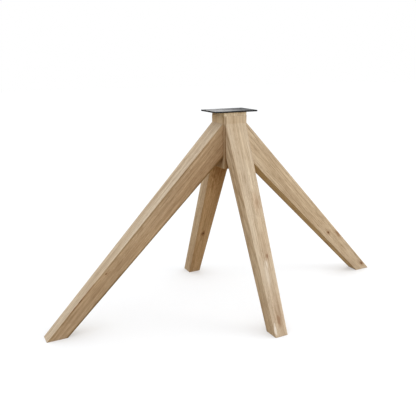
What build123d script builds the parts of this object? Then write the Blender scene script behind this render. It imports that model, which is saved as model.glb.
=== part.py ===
from build123d import *
import os
from math import hypot

# Free-standing table base: four tapered oak legs stand out from the faces of a square oak post,
# two long ones along X and two short ones along Y. Each leg is glued and dowelled to the post.
# A steel plate, screwed to the post's end grain, carries the table top.
# Millimetres. The floor is z = 0 and the post's centre line is the Z axis.

# Overall
base_height = 720.0
long_reach = 695.0
short_reach = 361.0

# Steel plate
plate_length = 168.0
plate_width = 112.0
plate_thickness = 5.0
plate_corner_radius = 2.0
plate_edge_break = 0.4
top_hole_diameter = 7.0
top_hole_inset = 11.0

# Oak post
post_width = 90.0
post_length = 198.0
post_head = 13.0
post_arris_radius = 1.5
post_foot_chamfer = 1.5

# Oak legs
leg_root = 141.0
leg_neck = 26.0
leg_proud = 3.0
leg_width_top = 82.0
leg_width_foot = 48.5
leg_depth_foot = 50.0
foot_chamfer = 1.0
leg_arris_radius = 1.5

# Beech dowels, two to a leg, one above the other, half in the post and half in the leg
dowel_diameter = 12.0
dowel_length = 50.0
dowel_glue_room = 1.0
long_dowel_rises = (30.0, 72.0)
short_dowel_rises = (14.0, 44.0)

# Countersunk screws, plate to post
screw_diameter = 5.0
screw_head_diameter = 10.0
screw_length = 50.0
screw_point = 8.0
screw_spacing_x = 66.0
screw_spacing_y = 48.0
screw_hole_clearance = 0.5

# Worked out from the above
post_top = base_height - plate_thickness
leg_top = post_top - post_head
leg_crotch = leg_top - leg_root
shoulder_height = leg_top - leg_neck
post_face = post_width / 2
neck_face = post_face + leg_proud
screw_head_height = (screw_head_diameter - screw_diameter) / 2

# Each leg: the level direction in which it stands out from the post, its reach, and how far
# its dowels are above its crotch
up = Vector(0, 0, 1)
legs = {
    "right": (Vector(1, 0, 0), long_reach, long_dowel_rises),
    "back": (Vector(0, 1, 0), short_reach, short_dowel_rises),
    "left": (Vector(-1, 0, 0), long_reach, long_dowel_rises),
    "front": (Vector(0, -1, 0), short_reach, short_dowel_rises),
}


def side_plane(out):
    """Upright plane through the post's axis: local x runs outwards and local y is up."""
    return Plane(origin=(0, 0, 0), x_dir=out, z_dir=out.cross(up))


def joint_plane(out):
    """The post's face under a leg: local x is level, local y is up, and z points outwards."""
    return Plane(origin=out * post_face, x_dir=up.cross(out), z_dir=out)


def slope_plane(out, reach):
    """The leg's sloping outer face: local y climbs it, from the foot to 0 at the shoulder."""
    normal = out * shoulder_height + up * (reach - neck_face)
    shoulder = out * neck_face + up * shoulder_height
    return Plane(origin=shoulder, x_dir=up.cross(out), z_dir=normal)


def dowel_places(rises):
    """Where a leg's dowels stand on its joint plane, on its centre line."""
    return [(0, leg_crotch + rise) for rise in rises]


def make_leg(out, reach, rises):
    """One leg: its side outline, narrowed towards the foot, with softened long edges."""
    slope_length = hypot(reach - neck_face, shoulder_height)
    foot_run = leg_depth_foot * slope_length / shoulder_height
    narrowing = (leg_width_top - leg_width_foot) / 2 / slope_length
    overrun = leg_root
    width_above = leg_width_top / 2 + narrowing * overrun
    width_below = leg_width_foot / 2 - narrowing * foot_chamfer

    with BuildPart() as leg:
        with BuildSketch(side_plane(out)):
            with BuildLine():
                Polyline(
                    (post_face, leg_top),
                    (neck_face, leg_top),
                    (neck_face, shoulder_height),
                    (reach, 0),
                    (reach - foot_run, 0),
                    (post_face, leg_crotch),
                    close=True,
                )
            make_face()
        extrude(amount=leg_width_top, both=True)
        with BuildSketch(slope_plane(out, reach)):
            with BuildLine():
                Polyline(
                    (-width_above, overrun),
                    (width_above, overrun),
                    (width_below, -slope_length - foot_chamfer),
                    (-width_below, -slope_length - foot_chamfer),
                    close=True,
                )
            make_face()
        extrude(amount=2 * leg_root, both=True, mode=Mode.INTERSECT)

        chamfer(leg.faces().sort_by(Axis.Z)[0].edges(), length=foot_chamfer)
        joint = joint_plane(out)
        cheeks = leg.faces().filter_by(lambda face: abs(face.normal_at().dot(joint.x_dir)) > 0.9)
        arrises = cheeks.edges().filter_by_position(Axis.Z, 2 * foot_chamfer, leg_top)
        arrises = arrises.filter_by_position(Axis(joint.origin, joint.z_dir), leg_proud / 4, reach)
        fillet(arrises, radius=leg_arris_radius)

        with BuildSketch(joint):
            with Locations(*dowel_places(rises)):
                Circle(dowel_diameter / 2)
        extrude(amount=dowel_length / 2 + dowel_glue_room, mode=Mode.SUBTRACT)
    return leg


def make_dowel(out, place):
    """One dowel, centred on the face where the leg meets the post."""
    with BuildPart() as dowel:
        with BuildSketch(joint_plane(out).offset(-dowel_length / 2)):
            with Locations(place):
                Circle(dowel_diameter / 2)
        extrude(amount=dowel_length)
    return dowel


def make_screw(x, y):
    """One countersunk screw: its head is flush with the plate and its point is down in the post."""
    with BuildPart() as screw:
        with BuildSketch(Plane(origin=(x, y, base_height), x_dir=(1, 0, 0), z_dir=(0, -1, 0))):
            with BuildLine():
                Polyline(
                    (0, 0),
                    (screw_head_diameter / 2, 0),
                    (screw_diameter / 2, -screw_head_height),
                    (screw_diameter / 2, screw_point - screw_length),
                    (0, -screw_length),
                    close=True,
                )
            make_face()
        revolve(axis=Axis((x, y, 0), (0, 0, 1)))
    return screw


def save(piece, name):
    """Label a finished piece and write it to its own file."""
    piece.part.label = name
    export_step(piece.part, f"parts/{name}.step")


os.makedirs("parts", exist_ok=True)

# Post: one square length of oak, drilled for the legs' dowels and the plate's screws
with BuildPart() as post:
    with BuildSketch(Plane.XY.offset(post_top - post_length)):
        Rectangle(post_width, post_width)
    extrude(amount=post_length)
    fillet(post.edges().filter_by(Axis.Z), radius=post_arris_radius)
    chamfer(post.faces().sort_by(Axis.Z)[0].edges(), length=post_foot_chamfer)
    for out, reach, rises in legs.values():
        with BuildSketch(joint_plane(out)):
            with Locations(*dowel_places(rises)):
                Circle(dowel_diameter / 2)
        extrude(amount=-dowel_length / 2 - dowel_glue_room, mode=Mode.SUBTRACT)
    with BuildSketch(Plane.XY.offset(post_top)):
        with GridLocations(screw_spacing_x, screw_spacing_y, 2, 2):
            Circle(screw_diameter / 2)
    extrude(amount=plate_thickness - screw_length, mode=Mode.SUBTRACT)
save(post, "post")

# Plate: flat steel, countersunk for its own screws and drilled at the corners for the table top's
with BuildPart() as plate:
    with BuildSketch(Plane.XY.offset(post_top)):
        RectangleRounded(plate_length, plate_width, plate_corner_radius)
        with GridLocations(plate_length - 2 * top_hole_inset, plate_width - 2 * top_hole_inset, 2, 2):
            Circle(top_hole_diameter / 2, mode=Mode.SUBTRACT)
    extrude(amount=plate_thickness)
    outlines = plate.faces().sort_by(Axis.Z)[0].outer_wire().edges()
    outlines += plate.faces().sort_by(Axis.Z)[-1].outer_wire().edges()
    chamfer(outlines, length=plate_edge_break)
    with Locations((0, 0, base_height)):
        with GridLocations(screw_spacing_x, screw_spacing_y, 2, 2):
            CounterSinkHole(
                radius=(screw_diameter + screw_hole_clearance) / 2,
                counter_sink_radius=screw_head_diameter / 2,
                counter_sink_angle=90,
            )
save(plate, "plate")

# Legs, each with its dowels
for side, (out, reach, rises) in legs.items():
    save(make_leg(out, reach, rises), f"leg_{side}")
    for number, place in enumerate(dowel_places(rises), start=1):
        save(make_dowel(out, place), f"dowel_{side}_{number}")

# Plate screws
screw_number = 0
for x in (-screw_spacing_x / 2, screw_spacing_x / 2):
    for y in (-screw_spacing_y / 2, screw_spacing_y / 2):
        screw_number += 1
        save(make_screw(x, y), f"plate_screw_{screw_number}")
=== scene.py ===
from math import cos, radians

import bmesh
import bpy
from mathutils import Matrix, Vector


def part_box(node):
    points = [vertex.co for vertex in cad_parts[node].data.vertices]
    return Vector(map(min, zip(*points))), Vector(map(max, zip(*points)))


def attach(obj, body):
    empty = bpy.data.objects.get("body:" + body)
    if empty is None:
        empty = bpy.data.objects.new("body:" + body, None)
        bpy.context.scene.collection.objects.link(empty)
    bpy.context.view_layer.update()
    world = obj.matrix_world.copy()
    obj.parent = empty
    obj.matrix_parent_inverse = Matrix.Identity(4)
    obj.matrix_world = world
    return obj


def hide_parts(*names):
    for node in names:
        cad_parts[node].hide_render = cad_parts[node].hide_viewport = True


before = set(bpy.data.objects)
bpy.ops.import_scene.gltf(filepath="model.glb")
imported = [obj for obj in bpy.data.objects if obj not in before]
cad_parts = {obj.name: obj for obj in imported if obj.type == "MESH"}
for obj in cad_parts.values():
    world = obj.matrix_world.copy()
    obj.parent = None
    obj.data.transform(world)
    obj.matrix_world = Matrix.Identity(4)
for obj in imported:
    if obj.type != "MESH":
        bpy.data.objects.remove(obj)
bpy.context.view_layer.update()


# Camera
# Standing eye level for a product picture: a little to the left of the front leg, tilted down
# at the hub, with a small sideways shift that keeps the post right of the picture's middle.
eye = (-0.9643, -1.7157, 0.8923)
tilt_down, turn_right = radians(15.17), radians(29.03)
camera = bpy.data.objects.new("camera", bpy.data.cameras.new("camera"))
camera.location = eye
camera.rotation_euler = (radians(90) - tilt_down, 0, -turn_right)
camera.data.sensor_width = 36.0
camera.data.lens = 47.45
camera.data.shift_x = -0.0437
bpy.context.scene.collection.objects.link(camera)
bpy.context.scene.camera = camera
bpy.context.scene.view_settings.view_transform = "Standard"


# Studio floor, daylight and lamp
# A seamless white sweep with soft light from all round and one soft box close to the front
# right. The floor shows white, but sends only dim, warm light back up under the legs.
def node(tree, kind, feeds=(), **settings):
    """Add one shader node; feeds gives its inputs, each a socket to link or a plain value."""
    made = tree.nodes.new("ShaderNode" + kind)
    for name, value in settings.items():
        setattr(made, name, value)
    for key, value in dict(feeds).items():
        if isinstance(value, bpy.types.NodeSocket):
            tree.links.new(value, made.inputs[key])
        else:
            made.inputs[key].default_value = value
    return made


def calc(tree, operation, *feeds):
    """Add a Math node and return its result."""
    return node(tree, "Math", enumerate(feeds), operation=operation).outputs[0]


def split(tree, arrow):
    """Take a vector apart into its three numbers."""
    return node(tree, "SeparateXYZ", {0: arrow}).outputs


def blend_colour(tree, share, first, second):
    """Mix two colours by share."""
    return node(tree, "Mix", {0: share, 6: first, 7: second}, data_type="RGBA").outputs[2]


def bare_material(name):
    """A new material with an empty node tree."""
    material = bpy.data.materials.new(name)
    material.use_nodes = True
    material.node_tree.nodes.clear()
    return material, material.node_tree


def seen_directly(tree):
    """1 where the camera, a reflection or glass sees the surface, 0 where it only gives light."""
    rays = node(tree, "LightPath").outputs
    straight = calc(tree, "MAXIMUM", rays["Is Camera Ray"], rays["Is Glossy Ray"])
    return calc(tree, "MAXIMUM", straight, rays["Is Transmission Ray"])


def studio_floor():
    floor_size = 30.0
    bounce_colour = (0.31, 0.212, 0.092, 1)
    glow, shadow_share = 1.26, 0.665
    contact_reach, tucked_under, in_the_open = 0.12, 0.25, 0.95
    painted_shadow_grey, open_white = (0.66, 0.645, 0.62, 1), (0.95, 0.945, 0.94, 1)

    mesh = bpy.data.meshes.new("floor")
    bm = bmesh.new()
    bmesh.ops.create_grid(bm, x_segments=1, y_segments=1, size=floor_size / 2)
    bm.to_mesh(mesh)
    bm.free()
    floor = bpy.data.objects.new("floor", mesh)
    bpy.context.scene.collection.objects.link(floor)

    material, tree = bare_material("white_studio_floor")
    white = node(tree, "Emission", {"Color": (1, 1, 1, 1), "Strength": glow}).outputs[0]
    # Painted shadow: the floor greys where ambient occlusion finds it closed in, round the feet and
    # under the base.
    openness = node(tree, "AmbientOcclusion", {"Distance": contact_reach}, samples=16).outputs["AO"]
    feeds = {"Value": openness, "From Min": tucked_under, "From Max": in_the_open}
    painted_contact_shadow = blend_colour(tree, node(tree, "MapRange", feeds).outputs[0], painted_shadow_grey, open_white)
    shaded = node(tree, "BsdfDiffuse", {"Color": painted_contact_shadow}).outputs[0]
    shown = node(tree, "MixShader", {0: shadow_share, 1: white, 2: shaded}).outputs[0]
    bounce = node(tree, "BsdfDiffuse", {"Color": bounce_colour}).outputs[0]
    seen = node(tree, "LightPath").outputs["Is Camera Ray"]
    surface = node(tree, "MixShader", {0: seen, 1: bounce, 2: shown}).outputs[0]
    node(tree, "OutputMaterial", {"Surface": surface})
    mesh.materials.append(material)


def studio_light():
    daylight, cool_from = 1.0, 0.6
    low_colour, high_colour = (1.17, 1.07, 0.87, 1), (0.93, 0.97, 1.03, 1)
    world = bpy.data.worlds.new("studio_daylight")
    world.use_nodes = True
    tree = world.node_tree
    tree.nodes.clear()
    rise = split(tree, node(tree, "TexCoord").outputs["Generated"])[2]
    feeds = {"Value": rise, "From Min": 0.0, "From Max": cool_from}
    colour = blend_colour(tree, node(tree, "MapRange", feeds).outputs[0], low_colour, high_colour)
    soft = node(tree, "Background", {"Color": colour, "Strength": daylight}).outputs[0]
    white = node(tree, "Background", {"Color": (1, 1, 1, 1), "Strength": 1.0}).outputs[0]
    surface = node(tree, "MixShader", {0: seen_directly(tree), 1: soft, 2: white}).outputs[0]
    node(tree, "OutputWorld", {"Surface": surface})
    bpy.context.scene.world = world

    box = bpy.data.lights.new("soft_box", "AREA")
    box.shape = "SQUARE"
    box.size = 0.9
    box.energy = 9.0
    box.color = (0.97, 1.0, 1.04)
    lamp = bpy.data.objects.new("soft_box", box)
    lamp.location = (1.45, -1.10, 0.95)
    lamp.visible_camera = False
    aim = Vector((0, 0, 0.35)) - lamp.location
    lamp.rotation_euler = aim.to_track_quat("-Z", "Y").to_euler()
    bpy.context.scene.collection.objects.link(lamp)


studio_floor()
studio_light()


# Post
# One short square length of solid oak, grain upright, planed and matt-lacquered. The legs are
# dowelled to its four faces and the steel plate is screwed to its top end.
knots_per_board = 8


def group(name, inputs, outputs):
    """Start a node group; inputs and outputs are name: socket type. Returns it with its ends."""
    tree = bpy.data.node_groups.new(name, "ShaderNodeTree")
    for sockets, way in ((inputs, "INPUT"), (outputs, "OUTPUT")):
        for socket, kind in sockets.items():
            tree.interface.new_socket(socket, in_out=way, socket_type="NodeSocket" + kind)
    ends = tree.nodes.new("NodeGroupInput").outputs, tree.nodes.new("NodeGroupOutput").inputs
    return tree, *ends


def grouped(tree, name, feeds):
    """Place a node group in a material or in another group."""
    return node(tree, "Group", feeds, node_tree=bpy.data.node_groups[name]).outputs


def give_out(tree, out, results):
    """Link a group's results to its outputs."""
    for name, value in results.items():
        tree.links.new(value, out[name])


def product(tree, first, *others):
    """Multiply values."""
    for other in others:
        first = calc(tree, "MULTIPLY", first, other)
    return first


def vector(tree, operation, *feeds):
    """Add a Vector Math node and return its vector."""
    return node(tree, "VectorMath", enumerate(feeds), operation=operation).outputs[0]


def join(tree, *numbers):
    """Put numbers together as a vector."""
    return node(tree, "CombineXYZ", enumerate(numbers)).outputs[0]


def scaled(tree, arrow, factor):
    """Make a vector longer or shorter."""
    return node(tree, "VectorMath", {0: arrow, "Scale": factor}, operation="SCALE").outputs[0]


def length_of(tree, arrow):
    """The length of a vector."""
    return node(tree, "VectorMath", {0: arrow}, operation="LENGTH").outputs["Value"]


def noise(tree, place, waves, detail=2.0, roughness=0.5):
    """Noise from 0 to 1; waves says how many it makes in a metre each way."""
    feeds = {"Vector": vector(tree, "MULTIPLY", place, waves), "Scale": 1.0}
    feeds.update({"Detail": detail, "Roughness": roughness})
    return node(tree, "TexNoise", feeds).outputs[0]


def ramp(tree, value, low, high, to_low=0.0, to_high=1.0):
    """Take value from low..high to to_low..to_high with soft ends."""
    feeds = {"Value": value, "From Min": low, "From Max": high, "To Min": to_low, "To Max": to_high}
    return node(tree, "MapRange", feeds, interpolation_type="SMOOTHSTEP").outputs[0]


def make_knot_group():
    """One mark in the wood, by its centre, radius, length (in radii) and depth of colour.

    A deep one is a knot with a dark heart, a shallower one a brown stain, and one with a depth
    below 0 a pale streak. The rings swell round a mark unless it is long."""
    swelling, swelling_fade, too_long_to_swell = 1.6, 0.86, 4.0
    tree, given, out = group(
        "oak knot",
        {"Place": "Vector", "Centre": "Vector", "Radius": "Float", "Length": "Float",
         "Depth": "Float"},
        {"Lift": "Float", "Brown": "Float", "Heart": "Float", "Halo": "Float", "Pale": "Float"},
    )
    depth = given["Depth"]
    away = vector(tree, "SUBTRACT", given["Place"], given["Centre"])
    squeeze = join(tree, calc(tree, "DIVIDE", 1.0, given["Length"]), 1.0, 1.0)
    wander = noise(tree, given["Place"], (60, 160, 160), detail=1.0)
    distance = length_of(tree, vector(tree, "MULTIPLY", away, squeeze))
    distance = calc(tree, "DIVIDE", distance, given["Radius"])
    distance = product(tree, distance, ramp(tree, wander, 0.25, 0.75, 0.75, 1.3))
    fade = calc(tree, "POWER", swelling_fade, product(tree, distance, distance))
    swells = calc(tree, "LESS_THAN", given["Length"], too_long_to_swell)
    brown = product(tree, ramp(tree, distance, 1.15, 0.45), depth)
    pale = product(tree, ramp(tree, distance, 1.1, 0.4), depth, -1.0)
    give_out(tree, out, {
        "Lift": product(tree, fade, given["Radius"], swelling, swells),
        "Brown": calc(tree, "MAXIMUM", brown, 0.0),
        "Heart": product(tree, ramp(tree, distance, 0.5, 0.12), ramp(tree, depth, 0.72, 0.95)),
        "Halo": product(tree, ramp(tree, distance, 3.0, 0.6), ramp(tree, depth, 0.0, 0.3)),
        "Pale": calc(tree, "MAXIMUM", pale, 0.0),
    })


def make_oak_group():
    """Solid oak, in a board's own directions: x along the grain, z out of its outer face.

    The rings run round a pith that lies outside the board and leans by Drift. Heart and shade side
    points to its browner side: partly heartwood, partly painted shade. Dark edge band is a darker
    band along the board's lower edge: how deep it lies at the origin, how fast it rises along the
    board, and how strong it is."""
    pale, mid, early = (0.690, 0.573, 0.430, 1), (0.622, 0.492, 0.345, 1), (0.400, 0.268, 0.148, 1)
    # The first brown here serves heartwood and painted shade on one side; the second is painted
    # shade in inner corners.
    heartwood_and_shade_brown, painted_shade_brown = (0.415, 0.268, 0.145, 1), (0.46, 0.31, 0.16, 1)
    ray, worn = (0.700, 0.570, 0.415, 1), (0.660, 0.525, 0.375, 1)
    # The first brown here is painted shade on the lower arrises; the second colours a darker band
    # along the edges.
    painted_edge_shade, edge_band_brown = (0.300, 0.190, 0.095, 1), (0.225, 0.142, 0.050, 1)
    knot_brown, knot_dark = (0.270, 0.130, 0.055, 1), (0.045, 0.022, 0.012, 1)
    stain, flecked = (0.400, 0.235, 0.130, 1), (0.930, 0.850, 0.750, 1)
    ring_width, ring_sway, ring_ripple = 0.0034, 0.030, 0.0035
    inputs = dict.fromkeys(("Place", "Facing", "Pith", "Drift", "Heart and shade side", "Dark edge band"), "Vector")
    inputs.update(dict.fromkeys(("Board", "Tone", "Painted corner shade"), "Float"))
    for number in range(1, knots_per_board + 1):
        inputs[f"Knot {number}"] = "Vector"
        for measure in ("Radius", "Length", "Depth"):
            inputs[f"Knot {number} {measure}"] = "Float"
    outputs = {"Colour": "Color", "Roughness": "Float", "Height": "Float"}
    tree, given, out = group("oak wood", inputs, outputs)

    # Directions: along the board, round its pith, and which side of it the surface is.
    place = vector(tree, "ADD", given["Place"], join(tree, given["Board"]))
    along, _, out_of_face = split(tree, given["Place"])
    across = vector(tree, "SUBTRACT", given["Place"], given["Pith"])
    across = vector(tree, "SUBTRACT", across, scaled(tree, given["Drift"], along))
    across = vector(tree, "MULTIPLY", across, (0, 1, 1))
    radius = length_of(tree, across)
    angle = calc(tree, "ARCTAN2", split(tree, across)[2], split(tree, across)[1])
    facing = split(tree, given["Facing"])
    endways, sideways, faceways = (calc(tree, "ABSOLUTE", facing[axis]) for axis in range(3))
    end = ramp(tree, endways, 0.72, 0.98)
    arris = ramp(tree, calc(tree, "MINIMUM", sideways, faceways), 0.15, 0.45)

    # Rings: they sway, ripple and swell round the knots, and no two years are alike.
    sway = calc(tree, "SUBTRACT", noise(tree, place, (1.5, 7, 7), detail=1.0), 0.5)
    ripple = calc(tree, "SUBTRACT", noise(tree, place, (9, 38, 38), detail=2.0), 0.5)
    grown = calc(tree, "MULTIPLY_ADD", sway, ring_sway, radius)
    grown = calc(tree, "MULTIPLY_ADD", ripple, ring_ripple, grown)
    brown, heart, halo, fleck = 0.0, 0.0, 0.0, 0.0
    for number in range(1, knots_per_board + 1):
        feeds = {"Place": given["Place"], "Centre": given[f"Knot {number}"]}
        for measure in ("Radius", "Length", "Depth"):
            feeds[measure] = given[f"Knot {number} {measure}"]
        knot = grouped(tree, "oak knot", feeds)
        grown = calc(tree, "ADD", grown, knot["Lift"])
        brown = calc(tree, "MAXIMUM", brown, knot["Brown"])
        heart = calc(tree, "MAXIMUM", heart, knot["Heart"])
        halo = calc(tree, "MAXIMUM", halo, knot["Halo"])
        fleck = calc(tree, "MAXIMUM", fleck, knot["Pale"])
    uneven = noise(tree, join(tree, grown, given["Board"]), (70, 1, 1), detail=1.0)
    years = calc(tree, "MULTIPLY_ADD", uneven, 5.0, calc(tree, "DIVIDE", grown, ring_width))
    season = calc(tree, "FRACT", years)
    spring = product(tree, ramp(tree, season, 0.0, 0.10), ramp(tree, season, 0.62, 0.12))
    feeds = {"W": calc(tree, "FLOOR", years)}
    year = node(tree, "TexWhiteNoise", feeds, noise_dimensions="1D").outputs[0]
    early_share = product(tree, spring, calc(tree, "MULTIPLY_ADD", year, 0.40, 0.12))

    # Figure: broad clouds and bands, narrow streaks, fibres, short dashes, pores and silver rays.
    clouds = noise(tree, place, (3, 16, 16))
    bands = noise(tree, place, (1.3, 55, 14))
    streaks = noise(tree, place, (2.6, 165, 165), detail=3.0, roughness=0.6)
    fibres = noise(tree, place, (11, 480, 480), detail=4.0, roughness=0.7)
    dashes = noise(tree, place, (24, 210, 210), detail=5.0, roughness=0.62)
    dashes = ramp(tree, dashes, 0.49, 0.66)
    pores = ramp(tree, noise(tree, place, (60, 1400, 1400), detail=1.0), 0.55, 0.65)
    pores = product(tree, pores, calc(tree, "MULTIPLY_ADD", spring, 0.8, 0.2))
    sheets = join(tree, along, angle, radius)
    rays = ramp(tree, noise(tree, sheets, (105, 150, 50), detail=1.0), 0.64, 0.72)

    # Colour: the wood's own first, then its shades, then what lies over them.
    # Painted shade, partly heartwood: faces turned towards the heart and shade side are browned.
    heartwood_and_painted_shade = {0: given["Facing"], 1: given["Heart and shade side"]}
    heartwood_and_painted_shade = node(tree, "VectorMath", heartwood_and_painted_shade, operation="DOT_PRODUCT").outputs["Value"]
    colour = blend_colour(tree, ramp(tree, clouds, 0.3, 0.7), pale, mid)
    for share, layer in (
        (ramp(tree, grown, 0.115, 0.030), heartwood_and_shade_brown),
        (calc(tree, "MAXIMUM", heartwood_and_painted_shade, 0.0), heartwood_and_shade_brown), (early_share, early),
        (product(tree, rays, 0.5), ray), (product(tree, halo, 0.35), stain),
        (product(tree, pores, 0.55), early),
    ):
        colour = blend_colour(tree, share, colour, layer)
    tint = product(
        tree, given["Tone"],
        ramp(tree, streaks, 0.30, 0.70, 0.81, 1.12),
        ramp(tree, bands, 0.30, 0.70, 0.91, 1.07),
        ramp(tree, fibres, 0.30, 0.70, 0.86, 1.13),
        calc(tree, "MULTIPLY_ADD", dashes, -0.24, 1.06),
        calc(tree, "MULTIPLY_ADD", end, -0.30, 1.0),
        # Painted light: faces turned downwards are made paler, lifting their shade.
        ramp(tree, facing[2], -0.5, -0.95, 1.0, 1.24),
    )
    warmed = (calc(tree, "POWER", tint, power) for power in (0.85, 1.03, 1.2))
    colour = vector(tree, "MULTIPLY", colour, join(tree, *warmed))

    # Painted shade: the arrises that face downwards are browned.
    lower_arris_shade = product(
        tree, arris, ramp(tree, facing[2], -0.15, -0.45), ramp(tree, endways, 0.35, 0.15),
        ramp(tree, clouds, 0.56, 0.42, 0.35, 0.85),
    )
    # A darker band along the cheek's lower edge, and a fainter one along its upper edge.
    band_depth, band_rise, band_strength = split(tree, given["Dark edge band"])
    band_gap = calc(tree, "MULTIPLY_ADD", along, band_rise, band_depth)
    band_gap = calc(tree, "ADD", band_gap, out_of_face)
    lower_rim = ramp(tree, band_gap, 0.0070, 0.0036)
    upper_rim = ramp(tree, out_of_face, -0.0075, -0.0035, 0.0, 0.42)
    rim = product(
        tree, calc(tree, "MAXIMUM", lower_rim, upper_rim), ramp(tree, facing[1], 0.2, 0.6),
        band_strength, ramp(tree, clouds, 0.60, 0.42, 0.6, 1.0),
    )
    for share, layer in (
        (product(tree, fleck, 0.8), flecked), (product(tree, arris, 0.20), worn),
        (lower_arris_shade, painted_edge_shade), (rim, edge_band_brown),
    ):
        colour = blend_colour(tree, share, colour, layer)
    # The painted corner shade is lifted again on the arrises.
    painted_corner_shade = product(tree, given["Painted corner shade"], calc(tree, "MULTIPLY_ADD", arris, -0.9, 1.0))
    colour = vector(tree, "MULTIPLY", colour, blend_colour(tree, painted_corner_shade, (1, 1, 1, 1), painted_shade_brown))
    colour = blend_colour(tree, product(tree, brown, 0.8), colour, knot_brown)
    colour = blend_colour(tree, heart, colour, knot_dark)

    # Finish and relief: matt lacquer that sinks into pores and end grain.
    rough = calc(tree, "MULTIPLY_ADD", pores, 0.15, 0.52)
    for part, change in ((rays, -0.08), (end, 0.15), (fibres, 0.08)):
        rough = calc(tree, "MULTIPLY_ADD", part, change, rough)
    height = fibres
    for part, change in ((pores, -0.8), (spring, -0.35), (heart, -1.5)):
        height = calc(tree, "MULTIPLY_ADD", part, change, height)
    give_out(tree, out, {"Colour": colour, "Roughness": rough, "Height": height})


def board_frame(tree, origin, grain, face):
    """Positions and normals in a board's own directions: x along its grain, z out of its face."""
    grain, face = Vector(grain).normalized(), Vector(face).normalized()
    turned = Matrix((grain, face.cross(grain), face)).transposed().to_euler()
    coordinates = node(tree, "TexCoord").outputs
    feeds = {"Vector": coordinates["Object"], "Location": origin, "Rotation": turned}
    place = node(tree, "Mapping", feeds, vector_type="TEXTURE").outputs[0]
    feeds = {"Vector": coordinates["Normal"], "Rotation": turned}
    return place, node(tree, "Mapping", feeds, vector_type="TEXTURE").outputs[0]


def oak(name, origin, grain, face, pith, drift, board, tone, knots=(), upright_face=None,
        neck=1.0, heart_and_shade_side=(0, 0, 0), heart_and_shade_top=1.0, corners=(0.022, 1.0), dark_edge_band=(0, 0, 0)):
    """Oak for one board: origin and the directions of its grain and face place the pattern on it.

    board picks its figure and tone says how light it is. heart_and_shade_side, partly heartwood and
    partly painted shade, ends at the height heart_and_shade_top.
    corners is how far the painted shade of inner corners reaches, and how strong it is. With
    upright_face, the grain turns upright above the origin, as it does in a leg's neck, and that
    neck is painted lighter by the factor neck, against the plate's shade."""
    grain_turn, heart_and_shade_fade = 0.004, 0.006
    foot_end, foot_clear = 0.030, 0.060
    corner_clear, corner_end = 0.704, 0.696
    plate_shade_end, plate_shade, plate_painted_light = 0.696, 0.712, 1.38
    material, tree = bare_material(name)
    place, facing = board_frame(tree, origin, grain, face)
    if upright_face:
        upright_place, upright_facing = board_frame(tree, origin, (0, 0, -1), upright_face)
        both_along = split(tree, vector(tree, "ADD", place, upright_place))[0]
        below = ramp(tree, both_along, -grain_turn, grain_turn)
        feeds = {0: below, 4: upright_place, 5: place}
        place = node(tree, "Mix", feeds, data_type="VECTOR").outputs[1]
        feeds = {0: below, 4: upright_facing, 5: facing}
        facing = node(tree, "Mix", feeds, data_type="VECTOR").outputs[1]
        # Painted light: the neck's tone is raised by the factor neck, against the plate's shade.
        tone = calc(tree, "MULTIPLY_ADD", below, tone * (1 - neck), tone * neck)
    height = split(tree, node(tree, "TexCoord").outputs["Object"])[2]
    # Painted light: the wood just under the plate is made lighter, against the plate's shade.
    painted_light_under_plate = ramp(tree, height, plate_shade_end, plate_shade, 1.0, plate_painted_light)
    heart_and_shade_below = ramp(tree, height, heart_and_shade_top + heart_and_shade_fade, heart_and_shade_top - heart_and_shade_fade)
    painted_shade_reach, painted_shade_strength = corners
    # Painted shade: wood that ambient occlusion finds closed in, as in inner corners and joints, is
    # browned; not near the feet or under the plate.
    openness = node(tree, "AmbientOcclusion", {"Distance": painted_shade_reach}, samples=8).outputs["AO"]
    painted_corner_shade = product(
        tree, ramp(tree, openness, 0.86, 0.42), ramp(tree, height, corner_clear, corner_end),
        ramp(tree, height, foot_end, foot_clear, 0.0, painted_shade_strength),
    )
    feeds = {
        "Place": place, "Facing": facing, "Pith": pith, "Drift": drift, "Board": board,
        "Tone": calc(tree, "MULTIPLY", tone, painted_light_under_plate), "Painted corner shade": painted_corner_shade,
        "Heart and shade side": scaled(tree, heart_and_shade_side, heart_and_shade_below), "Dark edge band": dark_edge_band,
    }
    no_knot = ((0, 0, 9), 0.001, 1, 0)
    knots = list(knots) + [no_knot] * (knots_per_board - len(knots))
    for number, (centre, radius, length, depth) in enumerate(knots, start=1):
        feeds.update({f"Knot {number}": centre, f"Knot {number} Radius": radius})
        feeds.update({f"Knot {number} Length": length, f"Knot {number} Depth": depth})
    wood = grouped(tree, "oak wood", feeds)
    feeds = {"Height": wood["Height"], "Strength": 0.35, "Distance": 0.0003}
    relief = node(tree, "Bump", feeds).outputs[0]
    feeds = {"Base Color": wood["Colour"], "Roughness": wood["Roughness"], "Normal": relief}
    feeds["Specular IOR Level"] = 0.15
    lacquered = node(tree, "BsdfPrincipled", feeds).outputs[0]
    node(tree, "OutputMaterial", {"Surface": lacquered})
    return material


def dress(name, material):
    """Give a CAD node its finish."""
    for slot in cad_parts[name].material_slots:
        slot.material = material


make_knot_group()
make_oak_group()
post_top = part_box("post")[1].z
dress("post", oak(
    "oak_post", origin=(0, 0, post_top), grain=(0, 0, -1), face=(0, -1, 0),
    pith=(0, 0.014, -0.085), drift=(0, 0.01, 0.02), board=11.3, tone=1.12,
    heart_and_shade_side=(0, 0, 0.85), heart_and_shade_top=0.674, corners=(0.045, 0.62),
))


# Legs
# Four tapered lengths of solid oak, two long and two short, each from its own board, with the
# grain following the slope. Planed, arrises just broken, matt-lacquered; a few small knots show.
shoulder_height, neck_face = 0.676, 0.048
long_reach, short_reach = 0.695, 0.361
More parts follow.
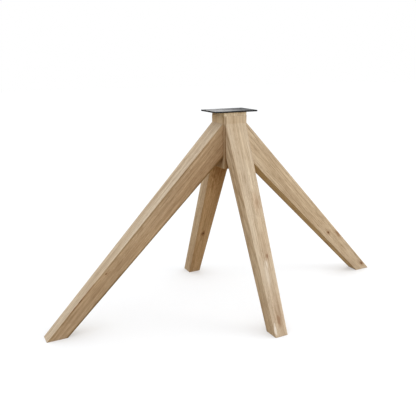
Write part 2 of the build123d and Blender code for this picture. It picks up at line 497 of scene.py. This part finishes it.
# A knot is its centre (along, across and out of the leg's outer face), radius, length and depth.
boards = {
    "right": ((1, 0, 0), long_reach, {
        "pith": (0, 0.060, -0.135), "drift": (0, 0.025, -0.012), "board": 1.7, "tone": 1.03,
        "knots": (
            ((0.624, -0.0295, -0.0350), 0.0052, 1.8, 1.00),
            ((0.668, -0.0290, -0.0065), 0.0062, 3.0, 0.70),
            ((0.886, -0.0245, -0.0114), 0.0058, 1.8, 1.00),
            ((0.690, 0.0080, -0.0575), 0.0085, 3.0, 0.80),
        ),
    }),
    "back": ((0, 1, 0), short_reach, {
        "pith": (0, -0.030, -0.120), "drift": (0, 0.01, 0.01), "board": 4.1, "tone": 1.09,
        "heart_and_shade_side": (0, 0, -0.78),
        "knots": (
            ((0.501, 0.0024, -0.0490), 0.0098, 2.0, 0.92),
            ((0.212, -0.0101, -0.0670), 0.0040, 2.0, 0.80),
            ((0.120, 0.0000, -0.0700), 0.0420, 4.2, 0.80),
            ((0.662, 0.0255, -0.0340), 0.0300, 4.2, 0.16),
        ),
    }),
    "left": ((-1, 0, 0), long_reach, {
        "pith": (0, 0.095, -0.150), "drift": (0, 0.012, 0.0), "board": 6.9, "tone": 1.05,
        "neck": 1.09, "heart_and_shade_side": (0, 0.57, 0), "dark_edge_band": (0.0848, -0.0392, 1.0),
        "knots": (
            ((0.646, 0.0291, -0.0113), 0.0034, 1.8, 0.95),
            ((0.800, 0.0265, -0.0008), 0.0026, 12.0, 0.84),
            ((0.765, 0.0271, -0.0010), 0.0030, 12.0, 0.86),
            ((0.725, 0.0278, -0.0010), 0.0026, 13.0, 0.80),
            ((0.130, 0.0410, -0.1150), 0.0620, 4.2, 0.30),
            ((0.790, 0.0262, -0.0300), 0.0350, 5.0, 0.11),
        ),
    }),
    "front": ((0, -1, 0), short_reach, {
        "pith": (0, 0.130, -0.050), "drift": (0, -0.02, 0.01), "board": 9.2, "tone": 1.01,
        "heart_and_shade_side": (0, -0.16, 0), "heart_and_shade_top": 0.54, "corners": (0.014, 1.0),
        "knots": (
            ((0.473, 0.0098, 0.0000), 0.0056, 1.8, 0.80),
            ((0.286, 0.0141, -0.0030), 0.0085, 2.4, 0.40),
            ((0.689, 0.0014, 0.0000), 0.0090, 2.5, 0.74),
            ((0.718, -0.0190, 0.0000), 0.0062, 4.2, -1.00),
            ((0.452, 0.0080, 0.0000), 0.0110, 4.2, 0.14),
            ((0.536, -0.0050, 0.0000), 0.0085, 6.0, -0.40),
            ((0.502, 0.0020, 0.0000), 0.0038, 4.2, -0.80),
            ((0.655, 0.0060, 0.0000), 0.0180, 4.2, 0.17),
        ),
    }),
}
for side, (outward, reach, wood) in boards.items():
    out, up = Vector(outward), Vector((0, 0, 1))
    run = reach - neck_face
    dress(f"leg_{side}", oak(
        f"oak_leg_{side}", origin=out * neck_face + up * shoulder_height,
        grain=out * run - up * shoulder_height, face=out * shoulder_height + up * run,
        upright_face=out, **wood,
    ))


# Plate
# A rectangle of 5 mm hot-rolled steel, blackened and waxed, with its edges eased and a hole near
# each corner for the table top's screws. Four countersunk screws hold it on the post's end grain.
def make_plate_finish():
    """Dark mill scale with barer streaks, and wax in patches, with a painted sheen that grows
    towards the left.
    """
    scale, bare, bare_share = (0.012, 0.013, 0.016, 1), (0.045, 0.047, 0.050, 1), 0.6
    painted_sheen_leftwards, wax_in_patches, wax_in_streaks, wax_base = -6.0, 1.2, 0.6, -0.1
    matt, waxed_smoother, streaks_rougher = 0.58, -0.25, 0.08
    edge_gloss, top_gloss = 0.12, 0.30
    material, tree = bare_material("blackened_steel")
    coordinates = node(tree, "TexCoord").outputs
    place = coordinates["Object"]
    grain = noise(tree, place, (1900, 1900, 1900), detail=1.0)
    rolled = noise(tree, place, (5, 130, 130), detail=3.0)
    patches = noise(tree, place, (14, 22, 22))
    top = split(tree, vector(tree, "ABSOLUTE", coordinates["Normal"]))[2]
    top = ramp(tree, top, 0.9, 1.0)
    bareness = product(
        tree, ramp(tree, rolled, 0.2, 0.8), ramp(tree, patches, 0.2, 0.8, 0.3, 1.0), bare_share,
    )
    wax_and_painted_sheen = calc(tree, "MULTIPLY_ADD", patches, wax_in_patches, wax_base)
    # Painted sheen: the coat, and with it the reflection, grows towards the left.
    wax_and_painted_sheen = calc(tree, "MULTIPLY_ADD", split(tree, place)[0], painted_sheen_leftwards, wax_and_painted_sheen)
    wax_and_painted_sheen = calc(tree, "MULTIPLY_ADD", rolled, wax_in_streaks, wax_and_painted_sheen)
    wax_and_painted_sheen = product(tree, ramp(tree, wax_and_painted_sheen, 0.1, 1.8), top)
    rough = calc(tree, "MULTIPLY_ADD", wax_and_painted_sheen, waxed_smoother, matt)
    rough = calc(tree, "MULTIPLY_ADD", rolled, streaks_rougher, rough)
    feeds = {"Height": grain, "Strength": 0.2, "Distance": 0.0001}
    feeds = {
        "Base Color": blend_colour(tree, bareness, scale, bare), "Roughness": rough,
        "Normal": node(tree, "Bump", feeds).outputs[0],
        "Coat Weight": wax_and_painted_sheen, "Coat Roughness": 0.25,
        "Specular IOR Level": calc(tree, "MULTIPLY_ADD", top, top_gloss, edge_gloss),
    }
    node(tree, "OutputMaterial", {"Surface": node(tree, "BsdfPrincipled", feeds).outputs[0]})
    return material


dress("plate", make_plate_finish())


# Dowels
# Turned beech pegs, fluted so that the glue can spread and chamfered so that they start easily.
# Two to a leg, one above the other, half in the post and half in the leg, hidden in the joint.
def finish_piece(bm, name, material, stands_for):
    """Turn a finished bmesh into a piece that stands for one CAD node."""
    bmesh.ops.recalc_face_normals(bm, faces=bm.faces)
    mesh = bpy.data.meshes.new(name)
    bm.to_mesh(mesh)
    bm.free()
    mesh.materials.append(material)
    piece = bpy.data.objects.new(name, mesh)
    bpy.context.scene.collection.objects.link(piece)
    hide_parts(stands_for)
    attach(piece, "root")


def carry_on(bm, edges, narrow, onward):
    """Extrude a ring of edges onward along Z and narrow it about the Z axis."""
    grown = bmesh.ops.extrude_edge_only(bm, edges=edges)["geom"]
    verts = [part for part in grown if isinstance(part, bmesh.types.BMVert)]
    bmesh.ops.scale(bm, vec=(narrow, narrow, 1), verts=verts)
    bmesh.ops.translate(bm, vec=(0, 0, onward), verts=verts)
    return [part for part in grown if isinstance(part, bmesh.types.BMEdge) and not part.is_wire
            and all(vert in verts for vert in part.verts)]


def make_beech():
    """Beech: pinkish and even, with short brown ray flecks all over."""
    base, deep, fleck = (0.560, 0.375, 0.240, 1), (0.470, 0.300, 0.180, 1), (0.300, 0.170, 0.090, 1)
    material, tree = bare_material("beech")
    place = node(tree, "TexCoord").outputs["Object"]
    clouds = ramp(tree, noise(tree, place, (60, 60, 60)), 0.3, 0.7)
    flecks = ramp(tree, noise(tree, place, (700, 700, 350), detail=1.0), 0.62, 0.72)
    colour = blend_colour(tree, clouds, base, deep)
    colour = blend_colour(tree, product(tree, flecks, 0.6), colour, fleck)
    rough = calc(tree, "MULTIPLY_ADD", flecks, -0.1, 0.62)
    relief = node(tree, "Bump", {"Height": flecks, "Strength": 0.3, "Distance": 0.0002}).outputs[0]
    feeds = {"Base Color": colour, "Roughness": rough, "Normal": relief}
    node(tree, "OutputMaterial", {"Surface": node(tree, "BsdfPrincipled", feeds).outputs[0]})
    return material


def make_dowel(name, material):
    """One fluted dowel in the place of the plain CAD one, along its longest side."""
    flutes, flute_depth, end_chamfer, end_narrow = 18, 0.06, 0.0015, 0.82
    low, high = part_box(name)
    extent = high - low
    radius, length = extent.z / 2, max(extent)
    bm = bmesh.new()
    verts = bmesh.ops.create_circle(bm, segments=3 * flutes, radius=radius)["verts"]
    hollows = 1 - flute_depth
    bmesh.ops.scale(bm, vec=(hollows, hollows, 1), verts=verts[::3])
    near_end = list(bm.edges)
    far_end = carry_on(bm, near_end, 1.0, length - 2 * end_chamfer)
    for edges, onward in ((near_end, -end_chamfer), (far_end, end_chamfer)):
        bmesh.ops.edgeloop_fill(bm, edges=carry_on(bm, edges, end_narrow, onward))
    axis = Vector([float(side == length) for side in extent])
    turn = Vector((0, 0, 1)).rotation_difference(axis).to_matrix().to_4x4()
    start = (low + high) / 2 - axis * (length / 2 - end_chamfer)
    bmesh.ops.transform(bm, matrix=Matrix.Translation(start) @ turn, verts=bm.verts)
    finish_piece(bm, f"fluted_{name}", material, name)


beech = make_beech()
for side in boards:
    for number in (1, 2):
        make_dowel(f"dowel_{side}_{number}", beech)


# Plate screws
# Four countersunk wood screws in blackened steel, heads flush with the plate. Each has a six-lobed
# recess, a plain neck under its head, and a rolled thread running down to a sharp point.
core_radius, neck_end, tip_length = 0.00150, 0.012, 0.007


def make_screw_finish():
    """Blackened steel, rubbed brighter in small marks."""
    black, rubbed = (0.018, 0.018, 0.020, 1), (0.140, 0.140, 0.145, 1)
    material, tree = bare_material("black_screw_steel")
    place = node(tree, "TexCoord").outputs["Object"]
    marks = noise(tree, place, (900, 900, 900))
    colour = blend_colour(tree, ramp(tree, marks, 0.45, 0.75, 0.0, 0.7), black, rubbed)
    rough = calc(tree, "MULTIPLY_ADD", marks, 0.25, 0.28)
    relief = node(tree, "Bump", {"Height": marks, "Strength": 0.2, "Distance": 0.0001}).outputs[0]
    feeds = {"Base Color": colour, "Roughness": rough, "Normal": relief, "Metallic": 0.85}
    node(tree, "OutputMaterial", {"Surface": node(tree, "BsdfPrincipled", feeds).outputs[0]})
    return material


def turn_screw(bm, length):
    """The screw's body: head with its recess, neck, core and tip, with the head's top at z = 0."""
    sides, lobes = 48, 6
    head_radius, rim, neck_radius = 0.00490, 0.00025, 0.00195
    recess_radius, lobe_depth, recess_depth = 0.00270, 0.11, 0.0024
    recess_taper, recess_floor, floor_drop = 0.96, 0.55, 0.0003
    neck_step, tip_narrow = 0.0004, 0.05
    bmesh.ops.create_circle(bm, segments=sides, radius=head_radius)
    rim_edges = list(bm.edges)
    lip = carry_on(bm, rim_edges, recess_radius / head_radius, 0)
    for vert in {vert for edge in lip for vert in edge.verts}:
        turn = vert.co.xy.angle_signed(Vector((1, 0)))
        vert.co.xy *= 1 - lobe_depth * (1 - cos(lobes * turn))
    wall = carry_on(bm, lip, recess_taper, -recess_depth)
    bmesh.ops.edgeloop_fill(bm, edges=carry_on(bm, wall, recess_floor, -floor_drop))

    under_head = head_radius - neck_radius
    ring = rim_edges
    for narrow, down in (
        (1.0, rim), (neck_radius / head_radius, under_head), (1.0, neck_end - rim - under_head),
        (core_radius / neck_radius, neck_step), (1.0, length - neck_end - tip_length - neck_step),
        (tip_narrow, tip_length),
    ):
        ring = carry_on(bm, ring, narrow, -down)
    bmesh.ops.edgeloop_fill(bm, edges=ring)


def roll_thread(bm, length):
    """The thread: a ridge wound down the core and brought in to the screw's tip."""
    thread_radius, thread_foot, thread_width = 0.00245, core_radius * 0.9, 0.0011
    pitch, steps, run_in, bare_tip = 0.0024, 24, 0.001, 0.35
    thinned_from, thinnest = core_radius * 0.85, 0.15
    turns = int((length - neck_end - tip_length * bare_tip) / pitch)
    start = neck_end + run_in
    half = thread_width / 2
    corners = ((thread_foot, half), (thread_radius, 0), (thread_foot, -half))
    verts = [bm.verts.new((out, 0, along - start)) for out, along in corners]
    edges = [bm.edges.new(pair) for pair in zip(verts, verts[1:] + verts[:1])]
    bm.faces.new(verts)
    last = bmesh.ops.spin(
        bm, geom=verts + edges, cent=(0, 0, 0), axis=(0, 0, 1), dvec=(0, 0, -pitch / steps),
        angle=radians(360) * turns, steps=steps * turns, use_duplicate=False,
    )["geom_last"]
    last = [part for part in last if isinstance(part, bmesh.types.BMEdge)]
    bmesh.ops.edgeloop_fill(bm, edges=last)
    for vert in bm.verts:
        left_of_tip = (vert.co.z + length) / tip_length
        if left_of_tip < 1 and vert.co.xy.length > thinned_from:
            vert.co.xy *= max(left_of_tip, thinnest)


def make_screw(name, material):
    """One screw in the place of the plain CAD one."""
    sunk = 0.00005
    low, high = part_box(name)
    middle, length = (low + high) / 2, high.z - low.z
    bm = bmesh.new()
    turn_screw(bm, length)
    roll_thread(bm, length)
    bmesh.ops.translate(bm, vec=(middle.x, middle.y, high.z - sunk), verts=bm.verts)
    finish_piece(bm, f"threaded_{name}", material, name)


screw_finish = make_screw_finish()
for number in (1, 2, 3, 4):
    make_screw(f"plate_screw_{number}", screw_finish)
